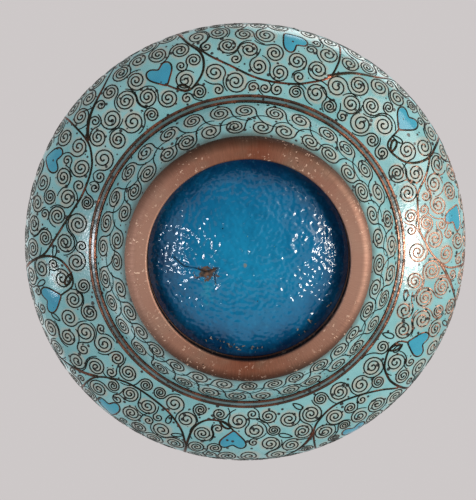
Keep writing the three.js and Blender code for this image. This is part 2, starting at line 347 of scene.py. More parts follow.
# Painted shade: the blue is lighter over the crown and darkens towards the well by the foot ring.
def wellShadedColour(tree, point, clouds, crown, middle, edge):
    flat = addNode(tree, "ShaderNodeVectorMath", {0: point, 1: (1, 1, 0)}, operation="MULTIPLY")
    reach = addNode(tree, "ShaderNodeVectorMath", {0: flat.outputs[0]}, operation="LENGTH")
    wobble = addNode(tree, "ShaderNodeMath", {
        0: clouds, 1: 3.5 * unit, 2: reach.outputs["Value"],
    }, operation="MULTIPLY_ADD")
    inner, outer = (
        addNode(tree, "ShaderNodeMapRange", {
            "Value": wobble.outputs[0], "From Min": low * unit, "From Max": high * unit,
        }).outputs[0]
        for low, high in (counterLook["crownTo"], counterLook["wellFrom"])
    )
    return layered(tree, crown, (inner, 1, middle), (outer, 1, edge))


# What happened to the base: a pale streak, a smudge, a black dot, a chip and its crack.
def baseFlaws(tree, point, colour, skin):
    streak = nearSpot(tree, point, baseMarks["streak"], 0.9, (1, 0.42))
    smudge = nearSpot(tree, point, baseMarks["crownMark"], 0.5)
    dot = nearSpot(tree, point, baseMarks["dot"], 0.3)
    chip = nearSpot(tree, point, baseMarks["chip"], 0.35, (0.8, 1.25))
    bare = layered(tree, "#644630", (grain(tree, point, 0.7, 3), 1, "#15110e"))
    crackLine = addNode(tree, "ShaderNodeMath", {
        0: addNode(tree, "ShaderNodeAttribute", attribute_name="crack").outputs["Fac"],
        1: grain(tree, point, 0.9, 2, 0.3, 0.5),
    }, operation="MULTIPLY")
    colour = layered(tree, colour, (streak, 0.4, "#2590a6"), (smudge, 0.8, "#7a7668"), (dot, 1, "#08161f"),
                     (chip, 1, bare), (crackLine.outputs[0], 1, "#10171c"))
    deep = addNode(tree, "ShaderNodeMath", {0: chip, 1: 2}, operation="MULTIPLY")
    skin = addNode(tree, "ShaderNodeMath", {0: skin, 1: deep.outputs[0]}, operation="SUBTRACT").outputs[0]
    roughness = addNode(tree, "ShaderNodeMapRange", {
        "Value": chip, "To Min": counterLook["roughness"], "To Max": counterLook["chipRoughness"],
    })
    return colour, skin, roughness.outputs[0]


def counterEnamel(name, middle, edge, crown=None):
    material, tree, point = newMaterial(name)
    clouds = grain(tree, point, 6, 4, 0.3, 0.7)
    # the underside gets painted shade, darker towards the well
    if crown:
        colour = wellShadedColour(tree, point, clouds, crown, middle, edge)
    else:
        colour = layered(tree, middle, (clouds, 1, edge))
    mottle = grain(tree, point, 1.6, 3, 0.45, 0.75)
    flecks = grain(tree, point, 0.8, 2, 0.6, 0.8)
    specks = marks(tree, point, 1.6, 0.13, 0.3)
    colour = layered(tree, colour, (mottle, 0.25, edge), (flecks, 0.2, "#3f9fc4"), (specks, 1, "#0a2233"))
    skin = grain(tree, point, counterLook["skinSize"], 0, 0.25, 0.75)
    roughness = counterLook["roughness"]
    if crown:
        colour, skin, roughness = baseFlaws(tree, point, colour, skin)
    addSurface(tree, {"Base Color": colour, "Roughness": roughness}, skin, counterLook["skinDepth"])
    return material


# Fire-stained sheet copper under the enamel: dull brown with soot clouds. It's covered.
def stainedSheet(name):
    material, tree, point = newMaterial(name)
    colour = layered(tree, "#7a5340", (grain(tree, point, 5, 4), 1, "#3b2a22"))
    skin = grain(tree, point, 0.5, 3)
    addSurface(tree, {"Base Color": colour, "Metallic": 1.0, "Roughness": 0.55}, skin, 0.03)
    return material


# Crumbs of grit and spilled enamel that stuck in the well: dull brown.
def gritCrumbs(name):
    material, tree, point = newMaterial(name)
    colour = layered(tree, "#a09384", (grain(tree, point, 0.6, 3), 1, "#3a2f28"))
    addSurface(tree, {"Base Color": colour, "Roughness": 0.6}, grain(tree, point, 0.15, 3), 0.05)
    return material


materials = {
    "turquoise": firedEnamel("turquoise glass enamel, fired and ground",
                             "#6ba5a9", "#82b7ba", "#5b9397", 0.5, "#a2a295"),
    "border": firedEnamel("grey-blue border enamel, fired", "#48605f", "#5b7a80", "#2f4040", 0.6),
    "heart": firedEnamel("bright blue heart enamel, fired", "#2389a6", "#3299ae", "#1a7593", 0.3),
    "coilWire": patinatedWire("drawn copper wire, dark patina", "#1f231f", "#613f30", 0.62, 0.5),
    "vineWire": patinatedWire("thick copper wire, rubbed red", "#2d2a22", "#834e3d", 0.5, 0.5),
    "borderWire": patinatedWire("border copper strip, patchy patina", "#54433a", "#8f5d48", 0.45, 0.2),
    "foot": wornCopper("turned copper foot, worn bare",
                       "#8e604c", "#824c39", "#7f6b5a", "#b99482", 1.0, True),
    "rim": wornCopper("turned copper rim, worn bare",
                      "#a17461", "#8f5c48", "#95816f", "#a17461", 0.4, False),
    "base": counterEnamel("poured blue counter-enamel, underside", "#0d608a", "#053257", "#177ba3"),
    "inside": counterEnamel("poured blue counter-enamel, inside", "#1a6c9b", "#0f3f63"),
    "sheet": stainedSheet("spun copper sheet, fire-stained"),
    "crumbs": gritCrumbs("grit and spilled enamel crumbs"),
}
print("materials made:", len(materials))

# ---- outer surface of the vase, from the foot up, as curves of (radius, height) in mm ----
outlineCurves = {
    "collar": ((24, 2.6), (26.06, 5.05), (28.46, 7.9), (29.87, 10.55)),
    "footStrip": ((29.9, 10.58), (30.4, 10.72), (30.9, 10.86), (31.4, 11.03)),
    "lowerBelly": ((31.43, 11.04), (39.4, 13.5), (45, 17), (45, 23.485)),
    "upperBelly": ((45, 23.515), (45, 34.5), (35.5, 44), (22.6, 48.8)),
    "shoulderStrip": ((22.57, 48.81), (22.1, 48.99), (21.6, 49.17), (21.1, 49.36)),
    "neckFoot": ((21.07, 49.37), (15.2, 51.6), (12.2, 55.5), (11.6, 63)),
    "neckStem": ((11.6, 63), (10.9, 72), (11, 88), (12.4, 97)),
    "mouthStrip": ((12.41, 97.03), (12.48, 97.5), (12.57, 98), (12.67, 98.5)),
    "mouth": ((12.68, 98.53), (13.7, 104.5), (15.2, 108.6), (17.6, 112.8)),
}
curveSteps = 60


# One or more curves joined, with the outward normal and the distance along them in mm.
def surfaceOf(*names):
    points, normals = [], []
    for name in names:
        a, b, c, d = (np.array(p, float) for p in outlineCurves[name])
        for i in range(curveSteps + 1):
            t = i / curveSteps
            if i == 0 and points:
                continue
            points.append((1 - t) ** 3 * a + 3 * t * (1 - t) ** 2 * b + 3 * t * t * (1 - t) * c + t ** 3 * d)
            run = (1 - t) ** 2 * (b - a) + 2 * t * (1 - t) * (c - b) + t * t * (d - c)
            run = run / np.linalg.norm(run)
            normals.append((run[1], -run[0]))
    points = np.array(points)
    normals = np.array(normals)
    gaps = np.linalg.norm(np.diff(points, axis=0), axis=1)
    along = np.concatenate(([0], np.cumsum(gaps)))
    return {"s": along, "r": points[:, 0], "z": points[:, 1], "nr": normals[:, 0], "nz": normals[:, 1],
            "length": float(along[-1])}


def radiusAt(surface, along):
    return np.interp(along, surface["s"], surface["r"])


# Points on a surface in metres, from distance along it, azimuth in degrees and lift in mm.
def onSurface(surface, along, azimuth, lift=0.0):
    along = np.asarray(along, float)
    angle = np.radians(np.asarray(azimuth, float))
    r = radiusAt(surface, along) + np.interp(along, surface["s"], surface["nr"]) * lift
    z = np.interp(along, surface["s"], surface["z"]) + np.interp(along, surface["s"], surface["nz"]) * lift
    return np.stack(np.broadcast_arrays(r * np.cos(angle), r * np.sin(angle), z), axis=-1) * unit


# ---- meshes ----
sharpAngle = 40  # degrees; sharper edges stay crisp


def addMesh(name, points, faces, material, smooth=True):
    mesh = bpy.data.meshes.new(name)
    mesh.from_pydata([tuple(p) for p in points], [], faces)
    mesh.materials.append(material)
    mesh.update()
    if smooth:
        mesh.shade_smooth()
        mesh.set_sharp_from_angle(angle=math.radians(sharpAngle))
    piece = bpy.data.objects.new(name, mesh)
    bpy.context.scene.collection.objects.link(piece)
    return piece


def addAttribute(mesh, name, kind, values):
    data = mesh.attributes.new(name, kind, "POINT").data
    data.foreach_set("vector" if kind == "FLOAT_VECTOR" else "value", np.ravel(values))


# Every piece rides the vase's only body and hides the nodes it stands for.
def assign(piece, nodes):
    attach(piece, "root")
    if nodes:
        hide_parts(*nodes)
    print("piece", piece.name, len(piece.data.polygons), "faces")
    return piece


def addPiece(name, points, faces, material, nodes, smooth=True):
    piece = addMesh(name, points, flipIfInside(points, faces), material, smooth)
    return assign(piece, nodes)


# Faces of a grid whose rows and columns both run round and close on themselves.
def closedGrid(rows, columns):
    faces = []
    for i in range(rows):
        nextRow = (i + 1) % rows
        for j in range(columns):
            nextColumn = (j + 1) % columns
            faces.append((i * columns + j, i * columns + nextColumn,
                          nextRow * columns + nextColumn, nextRow * columns + j))
    return faces


# Gentle unevenness in mm, never above zero so that a piece stays within its box.
def unevenness(points, height, size, seed):
    shift = Vector((seed * 7.3, seed * 3.1, seed * 5.7))
    scale = 1 / (size * unit)
    return np.array([(noise.noise(Vector(p) * scale + shift) - 0.6) * height * 0.6 for p in points])


# A closed turned layer between two depths below a whole surface. It also gives the distance
# and azimuth of each outer point.
def turnedLayer(surface, rows, columns, near, far, relief, reliefSize, seed):
    innerRows = max(3, rows // 4)  # enough to follow the curve on the hidden side
    azimuth = np.arange(columns) * 360 / columns
    along = np.linspace(0, surface["length"], rows)
    points = onSurface(surface, along[:, None], azimuth[None, :], -near).reshape(-1, 3)
    lift = unevenness(points, relief, reliefSize, seed)
    wide = np.repeat(along, columns)
    spread = np.tile(azimuth, rows)
    points = onSurface(surface, wide, spread, lift - near)
    back = np.linspace(surface["length"], 0, innerRows)
    inner = onSurface(surface, back[:, None], azimuth[None, :], -far).reshape(-1, 3)
    points = np.concatenate((points, inner))
    return points, closedGrid(rows + innerRows, columns), wide, spread


# A turned solid from a closed section of (radius, height) points, with dents pressed in.
def turnedSection(section, columns, dent, dentSize, seed):
    angles = np.arange(columns) * 2 * math.pi / columns
    section = np.array(section, float)
    x = section[:, 0][:, None] * np.cos(angles)[None, :]
    y = section[:, 0][:, None] * np.sin(angles)[None, :]
    z = np.repeat(section[:, 1][:, None], columns, axis=1)
    points = np.stack((x, y, z), axis=-1).reshape(-1, 3) * unit
    pull = unevenness(points, dent, dentSize, seed)
    towards = section.mean(axis=0)[None, :] - np.repeat(section, columns, axis=0)
    towards /= np.maximum(np.linalg.norm(towards, axis=1), 0.001)[:, None]
    turn = np.tile(angles, len(section))
    move = -pull[:, None] * towards * unit
    points[:, 0] += move[:, 0] * np.cos(turn)
    points[:, 1] += move[:, 0] * np.sin(turn)
    points[:, 2] += move[:, 1]
    return points, closedGrid(len(section), columns)


# Turns all faces of a closed mesh round if they point inwards.
def flipIfInside(points, faces):
    total = 0.0
    sample = np.array(points)
    for face in faces:
        a = sample[face[0]]
        for k in range(1, len(face) - 1):
            total += float(np.dot(a, np.cross(sample[face[k]], sample[face[k + 1]])))
    return [tuple(reversed(face)) for face in faces] if total < 0 else faces


# ---- the drawing of the wires, as (azimuth in degrees, distance along the surface in mm) ----
wires = {"coilWidth": 0.32, "vineWidth": 0.56, "crest": 0.85, "proud": 0.05, "root": 0.3, "gap": 0.06}


# Smooth line through a few points, with a step of about half a millimetre.
def smoothLine(surface, points, step=0.55):
    points = [np.array(p, float) for p in points]
    padded = [2 * points[0] - points[1], *points, 2 * points[-1] - points[-2]]
    line = []
    for i in range(1, len(padded) - 2):
        a, b, c, d = padded[i - 1:i + 3]
        reach = math.hypot(c[1] - b[1], math.radians(c[0] - b[0]) * float(radiusAt(surface, b[1])))
        count = max(1, round(reach / step))
        for k in range(count):
            t = k / count
            line.append(0.5 * (2 * b + (c - a) * t + (2 * a - 5 * b + 4 * c - d) * t * t
                               + (3 * b - a - 3 * c + d) * t ** 3))
    line.append(points[-1])
    return np.array(line)


# A line's thickness along its length: thick at the root, drawn out to the tip.
def taper(count, root, tip):
    return np.linspace(root, tip, count)


def newStems():
    return {"points": [], "edges": [], "gauge": []}


def addStem(stems, surface, line, gauge, closed=False):
    start = len(stems["points"])
    stems["points"].extend(onSurface(surface, line[:, 1], line[:, 0]))
    stems["gauge"].extend(np.broadcast_to(gauge, (len(line),)))
    stems["edges"].extend((start + i, start + i + 1) for i in range(len(line) - 1))
    if closed:
        stems["edges"].append((start + len(line) - 1, start))


# Shift of a point by millimetres across (round the vase) and along the surface.
def shifted(surface, spot, across, along):
    azimuth, s = spot
    return azimuth + np.degrees(across / radiusAt(surface, s)), s + along


# A slim leaf loop: two wires that part and meet again.
def leafLoop(surface, spot, turn, length, width):
    line = []
    steps = 14
    for i in range(steps):
        t = 2 * math.pi * i / steps
        x = length * (0.5 - 0.5 * math.cos(t))
        y = 0.5 * width * math.sin(t) * math.sin(t / 2) ** 0.6
        across = x * math.cos(turn) - y * math.sin(turn)
        along = x * math.sin(turn) + y * math.cos(turn)
        line.append(shifted(surface, spot, across, along))
    return np.array(line)


# ---- packing the coils between the vines ----
# All in mm, except that the spread is a share of the radius.
packing = {"grid": 0.4, "sizes": (2.15, 1.85, 1.5, 1.15), "spread": 0.07, "vineRoom": 0.1, "heartRoom": 2.9,
           "leafRoom": 0.95, "leafKeeps": 1.6}


def separation(surface, azimuth, along, spot):
    turn = (azimuth - spot[0] + 180) % 360 - 180
    mean = 0.5 * (radiusAt(surface, along) + radiusAt(surface, spot[1]))
    return np.hypot(np.radians(turn) * mean, along - spot[1])


def packCoils(surface, start, stop, lines, hearts, seed):
    rng = random.Random(seed)
    rows = np.arange(start, stop, packing["grid"])
    azimuth, along = [], []
    for s in rows:
        count = max(8, int(2 * math.pi * float(radiusAt(surface, s)) / packing["grid"]))
        azimuth.append(np.arange(count) * 360 / count)
        along.append(np.full(count, s))
    azimuth = np.concatenate(azimuth)
    along = np.concatenate(along)
    first = np.minimum(along - start, stop - along)
    second = np.full(len(along), 9.0)

    def addObstacle(distance):
        nonlocal first, second
        nearer = distance < first
        second = np.where(nearer, first, np.minimum(second, distance))
        first = np.where(nearer, distance, first)

    for line in lines:
        distance = np.full(len(along), 99.0)
        for spot in line:
            distance = np.minimum(distance, separation(surface, azimuth, along, spot))
        addObstacle(distance - packing["vineRoom"])
    for heart in hearts:
        addObstacle(separation(surface, azimuth, along, heart) - packing["heartRoom"])
    jitter = np.array([rng.uniform(0, 0.12) for _ in range(len(along))])
    coils = []
    for size in packing["sizes"]:
        while True:
            radius = size * (1 + rng.uniform(-packing["spread"], packing["spread"]))
            need = radius + 0.5 * wires["gap"]
            fits = first >= need
            if not fits.any():
                break
            score = np.where(fits, first + 0.7 * second + jitter, 99.0)
            i = int(np.argmin(score))
            coils.append({"spot": (float(azimuth[i]), float(along[i])), "radius": radius})
            addObstacle(separation(surface, azimuth, along, coils[-1]["spot"]) - need)
    # leaf loops in the pockets that are left
    leaves = []
    while True:
        score = np.where(first >= packing["leafRoom"], jitter - first, 99.0)
        i = int(np.argmin(score))
        if score[i] > 90:
            break
        leaves.append((float(azimuth[i]), float(along[i])))
        addObstacle(separation(surface, azimuth, along, leaves[-1]) - packing["leafKeeps"])
    return coils, leaves


# The way from one spot to another as an angle on the surface.
def bearing(surface, a, b):
    turn = (b[0] - a[0] + 180) % 360 - 180
    mean = 0.5 * float(radiusAt(surface, a[1]) + radiusAt(surface, b[1]))
    return math.atan2(b[1] - a[1], math.radians(turn) * mean)


# A coil runs out of its last turn and on round the outside of its neighbour.
def addTail(stems, surface, coil, other, sweep, gauge):
    towards = bearing(surface, coil["spot"], other["spot"])
    away = float(separation(surface, *coil["spot"], other["spot"]))
    near = max(away - coil["radius"], other["radius"] + 0.12)
    line = []
    steps = 9
    for i in range(steps + 1):
        t = i / steps
        angle = towards + math.pi - coil["hand"] * math.radians(sweep) * t
        reach = near + 0.35 * max(0, t - 0.6)
        line.append(shifted(surface, other["spot"], reach * math.cos(angle), reach * math.sin(angle)))
    addStem(stems, surface, np.array(line), taper(steps + 1, gauge, gauge * 0.7))
    coil["turn"] = towards


def joinCoils(stems, surface, coils, seed):
    rng = random.Random(seed)
    for coil in coils:
        coil["hand"] = rng.choice((-1, 1))
        near = []
        for other in coils:
            if other is coil:
                continue
            gap = float(separation(surface, *coil["spot"], other["spot"]))
            if gap < coil["radius"] + other["radius"] + 0.9:
                near.append((gap - other["radius"], other))
        near.sort(key=lambda pair: pair[0])
        if near:
            other = rng.choice(near[:3])[1]
            addTail(stems, surface, coil, other, rng.uniform(55, 95), 1.0)
        else:
            coil["turn"] = rng.uniform(0, 2 * math.pi)


# ---- coil shapes: a few spirals of unit radius that every coil is drawn from ----
coilShapes = {"turns": (2.2, 2.45, 2.7), "smallTurns": 1.5, "segments": 32}


def makeCoilShapes():
    shelf = bpy.data.collections.new("coilShapes")
    number = 0
    for turns in (*coilShapes["turns"], coilShapes["smallTurns"]):
        for hand in (1, -1):
            steps = coilShapes["segments"]
            points, gauges = [], []
            for i in range(steps + 1):
                t = i / steps
                angle = -hand * 2 * math.pi * turns * (1 - t ** 0.8)
                reach = 0.1 + 0.9 * t ** 0.8
                reach *= 1 + 0.03 * math.sin(angle * 1.4 + number)
                if i == steps:
                    reach = 1.0
                points.append((reach * math.cos(angle), reach * math.sin(angle), 0))
                gauges.append(1.25 - 0.25 * min(1, t * 4))
            mesh = bpy.data.meshes.new(f"coilShape{number}")
            mesh.from_pydata(points, [(i, i + 1) for i in range(steps)], [])
            addAttribute(mesh, "gauge", "FLOAT", gauges)
            shelf.objects.link(bpy.data.objects.new(f"coilShape{number}", mesh))
            number += 1
    return shelf


def coilKind(coil, rng):
    if coil["radius"] < 1.4:
        kind = len(coilShapes["turns"])
    else:
        kind = rng.randrange(len(coilShapes["turns"]))
    return kind * 2 + (0 if coil["hand"] > 0 else 1)


# Vertices that carry where each coil stands, how it faces and how large it is.
def makeCoilSpots(name, surface, coils, seed):
    rng = random.Random(seed)
    points, facings, sizes, kinds = [], [], [], []
    for coil in coils:
        azimuth, s = coil["spot"]
        point = Vector(onSurface(surface, s, azimuth))
        angle = math.radians(azimuth)
        nr = float(np.interp(s, surface["s"], surface["nr"]))
        nz = float(np.interp(s, surface["s"], surface["nz"]))
        normal = Vector((nr * math.cos(angle), nr * math.sin(angle), nz))
        across = Vector((-math.sin(angle), math.cos(angle), 0))
        upward = Vector((-nz * math.cos(angle), -nz * math.sin(angle), nr))
        x = across * math.cos(coil["turn"]) + upward * math.sin(coil["turn"])
        y = normal.cross(x)
        rotation = Matrix((x, y, normal)).transposed()
        points.append(point)
        facings.append(rotation.to_euler())
        size = coil["radius"] * unit
        sizes.append((size, size * rng.uniform(0.9, 1.04), size))
        kinds.append(coilKind(coil, rng))
    mesh = bpy.data.meshes.new(name)
    mesh.from_pydata(points, [], [])
    addAttribute(mesh, "facing", "FLOAT_VECTOR", facings)
    addAttribute(mesh, "size", "FLOAT_VECTOR", sizes)
    addAttribute(mesh, "kind", "INT", kinds)
    return bpy.data.objects.new(name, mesh)


# Geometry Nodes tree: places the coils, lays all lines on the enamel and sweeps a wire
# section along them, standing on its own normal of the enamel.
def makeWireTree():
    tree = bpy.data.node_groups.new("wiresOnEnamel", "GeometryNodeTree")
    tree.interface.new_socket("Geometry", in_out="INPUT", socket_type="NodeSocketGeometry")
    for name, kind in (("Coil Spots", "Object"), ("Coil Shapes", "Collection"), ("Enamel", "Object"),
                       ("Width", "Float"), ("Proud", "Float"), ("Root", "Float"), ("Metal", "Material")):
        tree.interface.new_socket(name, in_out="INPUT", socket_type="NodeSocket" + kind)
    tree.interface.new_socket("Geometry", in_out="OUTPUT", socket_type="NodeSocketGeometry")
    given = addNode(tree, "NodeGroupInput").outputs
    spots = addNode(tree, "GeometryNodeObjectInfo", {"Object": given["Coil Spots"]})
    shapes = addNode(tree, "GeometryNodeCollectionInfo", {
        "Collection": given["Coil Shapes"], "Separate Children": True, "Reset Children": True,
    })
    enamel = addNode(tree, "GeometryNodeObjectInfo", {"Object": given["Enamel"]}).outputs["Geometry"]
    kind, facing, size, gauge = (
        addNode(tree, "GeometryNodeInputNamedAttribute", {"Name": name}, data_type=dataType).outputs[0]
        for name, dataType in (("kind", "INT"), ("facing", "FLOAT_VECTOR"), ("size", "FLOAT_VECTOR"),
                               ("gauge", "FLOAT"))
    )
    turned = addNode(tree, "FunctionNodeEulerToRotation", {"Euler": facing})
    dots = addNode(tree, "GeometryNodeMeshToPoints", {"Mesh": spots.outputs["Geometry"]})
    coils = addNode(tree, "GeometryNodeInstanceOnPoints", {
        "Points": dots.outputs[0], "Instance": shapes.outputs[0], "Pick Instance": True,
        "Instance Index": kind, "Rotation": turned.outputs[0], "Scale": size,
    })
    drawn = addNode(tree, "GeometryNodeRealizeInstances", {"Geometry": coils.outputs[0]})
    joined = addNode(tree, "GeometryNodeJoinGeometry")
    tree.links.new(given["Geometry"], joined.inputs[0])
    tree.links.new(drawn.outputs[0], joined.inputs[0])
    lines = addNode(tree, "GeometryNodeMeshToCurve", {"Mesh": joined.outputs[0]})
    nearest = addNode(tree, "GeometryNodeProximity", {"Target": enamel}, target_element="FACES")
    laid = addNode(tree, "GeometryNodeSetPosition", {
        "Geometry": lines.outputs[0], "Position": nearest.outputs["Position"],
    })
    normal = addNode(tree, "GeometryNodeInputNormal")
    outward = addNode(tree, "GeometryNodeSampleNearestSurface", {
        "Mesh": enamel, "Value": normal.outputs[0],
    }, data_type="FLOAT_VECTOR")
    stood = addNode(tree, "GeometryNodeSetCurveNormal", {
        "Curve": laid.outputs[0], "Normal": outward.outputs[0],
    }, mode="FREE")
    height = addNode(tree, "ShaderNodeMath", {0: given["Proud"], 1: given["Root"]})
    crest = addNode(tree, "ShaderNodeMath", {0: given["Width"], 1: wires["crest"]}, operation="MULTIPLY")
    section = addNode(tree, "GeometryNodeCurvePrimitiveQuadrilateral", {
        "Bottom Width": given["Width"], "Top Width": crest.outputs[0], "Offset": 0.0,
        "Height": height.outputs[0],
    }, mode="TRAPEZOID")
    rise = addNode(tree, "ShaderNodeMath", {0: given["Proud"], 1: given["Root"]}, operation="SUBTRACT")
    half = addNode(tree, "ShaderNodeMath", {0: rise.outputs[0], 1: 0.5}, operation="MULTIPLY")
    lifted = addNode(tree, "ShaderNodeCombineXYZ", {"X": half.outputs[0]})
    upright = addNode(tree, "GeometryNodeTransform", {
        "Geometry": section.outputs[0], "Translation": lifted.outputs[0], "Rotation": (0, 0, -math.pi / 2),
    })
    swept = addNode(tree, "GeometryNodeCurveToMesh", {
        "Curve": stood.outputs[0], "Profile Curve": upright.outputs[0], "Scale": gauge,
        "Fill Caps": True,
    })
    smooth = addNode(tree, "GeometryNodeSetShadeSmooth", {"Geometry": swept.outputs[0]})
    whole = addNode(tree, "GeometryNodeRealizeInstances", {"Geometry": smooth.outputs[0]})
    finished = addNode(tree, "GeometryNodeSetMaterial", {
        "Geometry": whole.outputs[0], "Material": given["Metal"],
    })
    addNode(tree, "NodeGroupOutput", {"Geometry": finished.outputs[0]})
    return tree


wireTree = makeWireTree()
coilShelf = makeCoilShapes()


def sweepWires(name, stems, spots, enamel, width, metal, nodes):
    mesh = bpy.data.meshes.new(name + "Lines")
    mesh.from_pydata([tuple(p) for p in stems["points"]], stems["edges"], [])
    addAttribute(mesh, "gauge", "FLOAT", stems["gauge"])
    draft = bpy.data.objects.new(name + "Draft", mesh)
    bpy.context.scene.collection.objects.link(draft)
    modifier = draft.modifiers.new("wires", "NODES")
    modifier.node_group = wireTree
    values = {"Coil Spots": spots, "Coil Shapes": coilShelf, "Enamel": enamel, "Width": width * unit,
              "Proud": wires["proud"] * unit, "Root": wires["root"] * unit, "Metal": metal}
    for item in wireTree.interface.items_tree:
        if item.name in values:
            modifier[item.identifier] = values[item.name]
    graph = bpy.context.evaluated_depsgraph_get()
    swept = bpy.data.meshes.new_from_object(draft.evaluated_get(graph))
    bpy.data.objects.remove(draft)
    swept.name = name
    for leftover in [a.name for a in swept.attributes if a.name in ("facing", "size", "kind", "gauge")]:
        swept.attributes.remove(swept.attributes[leftover])
    piece = bpy.data.objects.new(name, swept)
    bpy.context.scene.collection.objects.link(piece)
    assign(piece, nodes)


# ---- hearts, placed where the frame has them ----
heartTurns = {
    "lower": (12, 0, 10, 4, 6),  # degrees, 0 has the notch away from the foot
    "side": (170, 215, 190, 225, 233),
    "upper": (180, 180, 180, 180, 180),
}
heartShape = {"width": 4.9, "stretch": 1.05, "wire": 0.4, "steps": 40, "rings": 7, "dome": 0.05}


def heartsOf(row, surface):
    found = []
    for i, turn in enumerate(heartTurns[row]):
        low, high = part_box(f"{row}_heart_enamel_{i + 1}")
        middle = (low + high) / 2
        azimuth = math.degrees(math.atan2(middle.y, middle.x)) % 360
        reach = math.hypot(middle.x, middle.y) / unit
        away = np.hypot(surface["r"] - reach, surface["z"] - middle.z / unit)
        along = float(surface["s"][int(np.argmin(away))])
        found.append({"spot": (azimuth, along), "turn": math.radians(turn), "row": row, "number": i + 1})
    return found


def heartPoint(surface, heart, t, scale):
    x = -(7.5 * math.sin(t) ** 3 + 8.5 * math.sin(t)) / 32 * heartShape["width"] * scale
    y = 12.6 * math.cos(t) - 4.6 * math.cos(2 * t) - 1.5 * math.cos(3 * t) - 0.8 * math.cos(4 * t) + 3
    y = y / 32 * heartShape["width"] * heartShape["stretch"] * scale
    across = x * math.cos(heart["turn"]) - y * math.sin(heart["turn"])
    along = x * math.sin(heart["turn"]) + y * math.cos(heart["turn"])
    return shifted(surface, heart["spot"], across, along)


# A heart of enamel with a low dome, closed underneath.
def addHeartFill(surface, heart):
    steps, rings = heartShape["steps"], heartShape["rings"]
    points = []
    for level, depth in ((0, 0.75), (1, 0)):
        count = rings if level else 1
        for ring in range(count):
            scale = 0.985 * (1 - ring / rings)
            lift = heartShape["dome"] * (1 - scale * scale) - depth - skinLook["depth"]
            for i in range(steps):
                azimuth, s = heartPoint(surface, heart, 2 * math.pi * i / steps, scale)
                points.append(onSurface(surface, s, azimuth, lift))
    faces = []
    for ring in range(rings):
        for i in range(steps):
            j = (i + 1) % steps
            faces.append((ring * steps + i, ring * steps + j, (ring + 1) * steps + j, (ring + 1) * steps + i))
    azimuth, s = heartPoint(surface, heart, 0, 0)
    top = len(points)
    points.append(onSurface(surface, s, azimuth, heartShape["dome"] - skinLook["depth"]))
    points.append(onSurface(surface, s, azimuth, -0.75 - skinLook["depth"]))
    for i in range(steps):
        j = (i + 1) % steps
        faces.append((rings * steps + i, rings * steps + j, top))
        faces.append((j, i, top + 1))
    name = f"{heart['row']}_heart_fill_{heart['number']}"
    node = f"{heart['row']}_heart_enamel_{heart['number']}"
    return addPiece(name, points, faces, materials["heart"], [node])


def heartLine(surface, heart):
    scale = 1 + 0.5 * heartShape["wire"] / (heartShape["width"] / 2)
    steps = heartShape["steps"]
    return np.array([heartPoint(surface, heart, 2 * math.pi * i / steps, scale) for i in range(steps)])


# ---- vines of the lower belly: five repeats, each a little different ----
lowerVines = [
    {  # azimuth in degrees and distance from the foot border in mm
        "hook": ((40.5, 19.6), (41.5, 16.1), (42.6, 10), (42, 7.3), (40, 5), (35, 3.5), (31, 4.3),
                 (29.6, 5.4)),
        "swag": ((42.7, 12.2), (46.5, 8.7), (52.5, 6), (60, 4.8), (66, 6), (69.8, 8.7), (71, 14),
                 (71, 19.6)),
        "branch": ((70, 9.2), (75, 12.9), (79.5, 15.5), (84, 19.4)),
    },
    {
        "hook": ((106, 19.6), (106.5, 16.1), (107, 9.8), (106.5, 6.2), (103.5, 3.9), (99, 3.5),
                 (96, 4.4), (94.4, 5.4)),
        "swag": ((107, 12.2), (110, 8), (116, 5), (124.5, 3.9), (132, 4.5), (137, 6.6), (140, 9.8),
                 (139.5, 15),
                 (138, 19.6)),
        "branch": ((139.5, 8.7), (144, 11.9), (150, 16), (154, 19.4)),
    },
    {
        "hook": ((173.5, 19.6), (175.5, 16.1), (178, 11.3), (178.5, 8.1), (177, 5.7), (173, 4),
                 (169, 4.3), (167, 5.6)),
        "swag": ((178, 11.3), (180, 9.3), (186, 6.6), (193.5, 4.4), (200, 3.3), (207, 3.5), (211.5, 4.8),
                 (215, 7.8),
                 (216, 14), (215.5, 19.6)),
        "branch": ((215, 7.6), (220.5, 10.6), (229.5, 14.2), (236, 19.4)),
    },
    {
        "hook": ((252, 19.6), (254, 13.6), (257, 9.8), (257, 6.9), (255, 4.6), (251, 2.9), (248, 3.4),
                 (245, 4.6)),
        "swag": ((255, 12.5), (259.5, 8.7), (265, 6), (271.5, 3.7), (278, 2.9), (285, 3.3), (290, 4.6),
                 (295, 7.1),
                 (296, 10.7), (295.5, 14.5), (294, 19.6)),
        "branch": ((294.6, 7.3), (300, 10.4), (307.5, 14), (313, 19.4)),
    },
    {
        "hook": ((330, 19.6), (331.5, 14), (333, 10.7), (332.5, 7.4), (330, 4.8), (325, 3.5), (322, 4.2),
                 (321, 5.8)),
        "swag": ((333, 10.7), (337, 8), (341, 4.8), (346.5, 3.7), (352.5, 3.3), (357, 4.4), (361.5, 6.3),
                 (365, 9.8),
                 (365, 14.5), (364.5, 19.6)),
        "branch": ((364, 8.2), (369, 11.3), (374, 15), (378, 19.4)),
    },
]

surfaces = {
    "collar": surfaceOf("collar"),
    "lowerBelly": surfaceOf("lowerBelly"),
    "upperBelly": surfaceOf("upperBelly"),
    "neck": surfaceOf("neckFoot", "neckStem"),
    "mouth": surfaceOf("mouth"),
}


# A row of coils round the vase, as on the foot collar and the mouth.
def rowOfCoils(along, count, radius, hand, start, seed):
    rng = random.Random(seed)
    coils = []
    for i in range(count):
        azimuth = start + 360 * i / count + rng.uniform(-0.9, 0.9)
        coils.append({
            "spot": (azimuth, along + rng.uniform(-0.16, 0.16)),
            "radius": radius * rng.uniform(0.94, 1.05),
            "hand": hand,
        })
    return coils


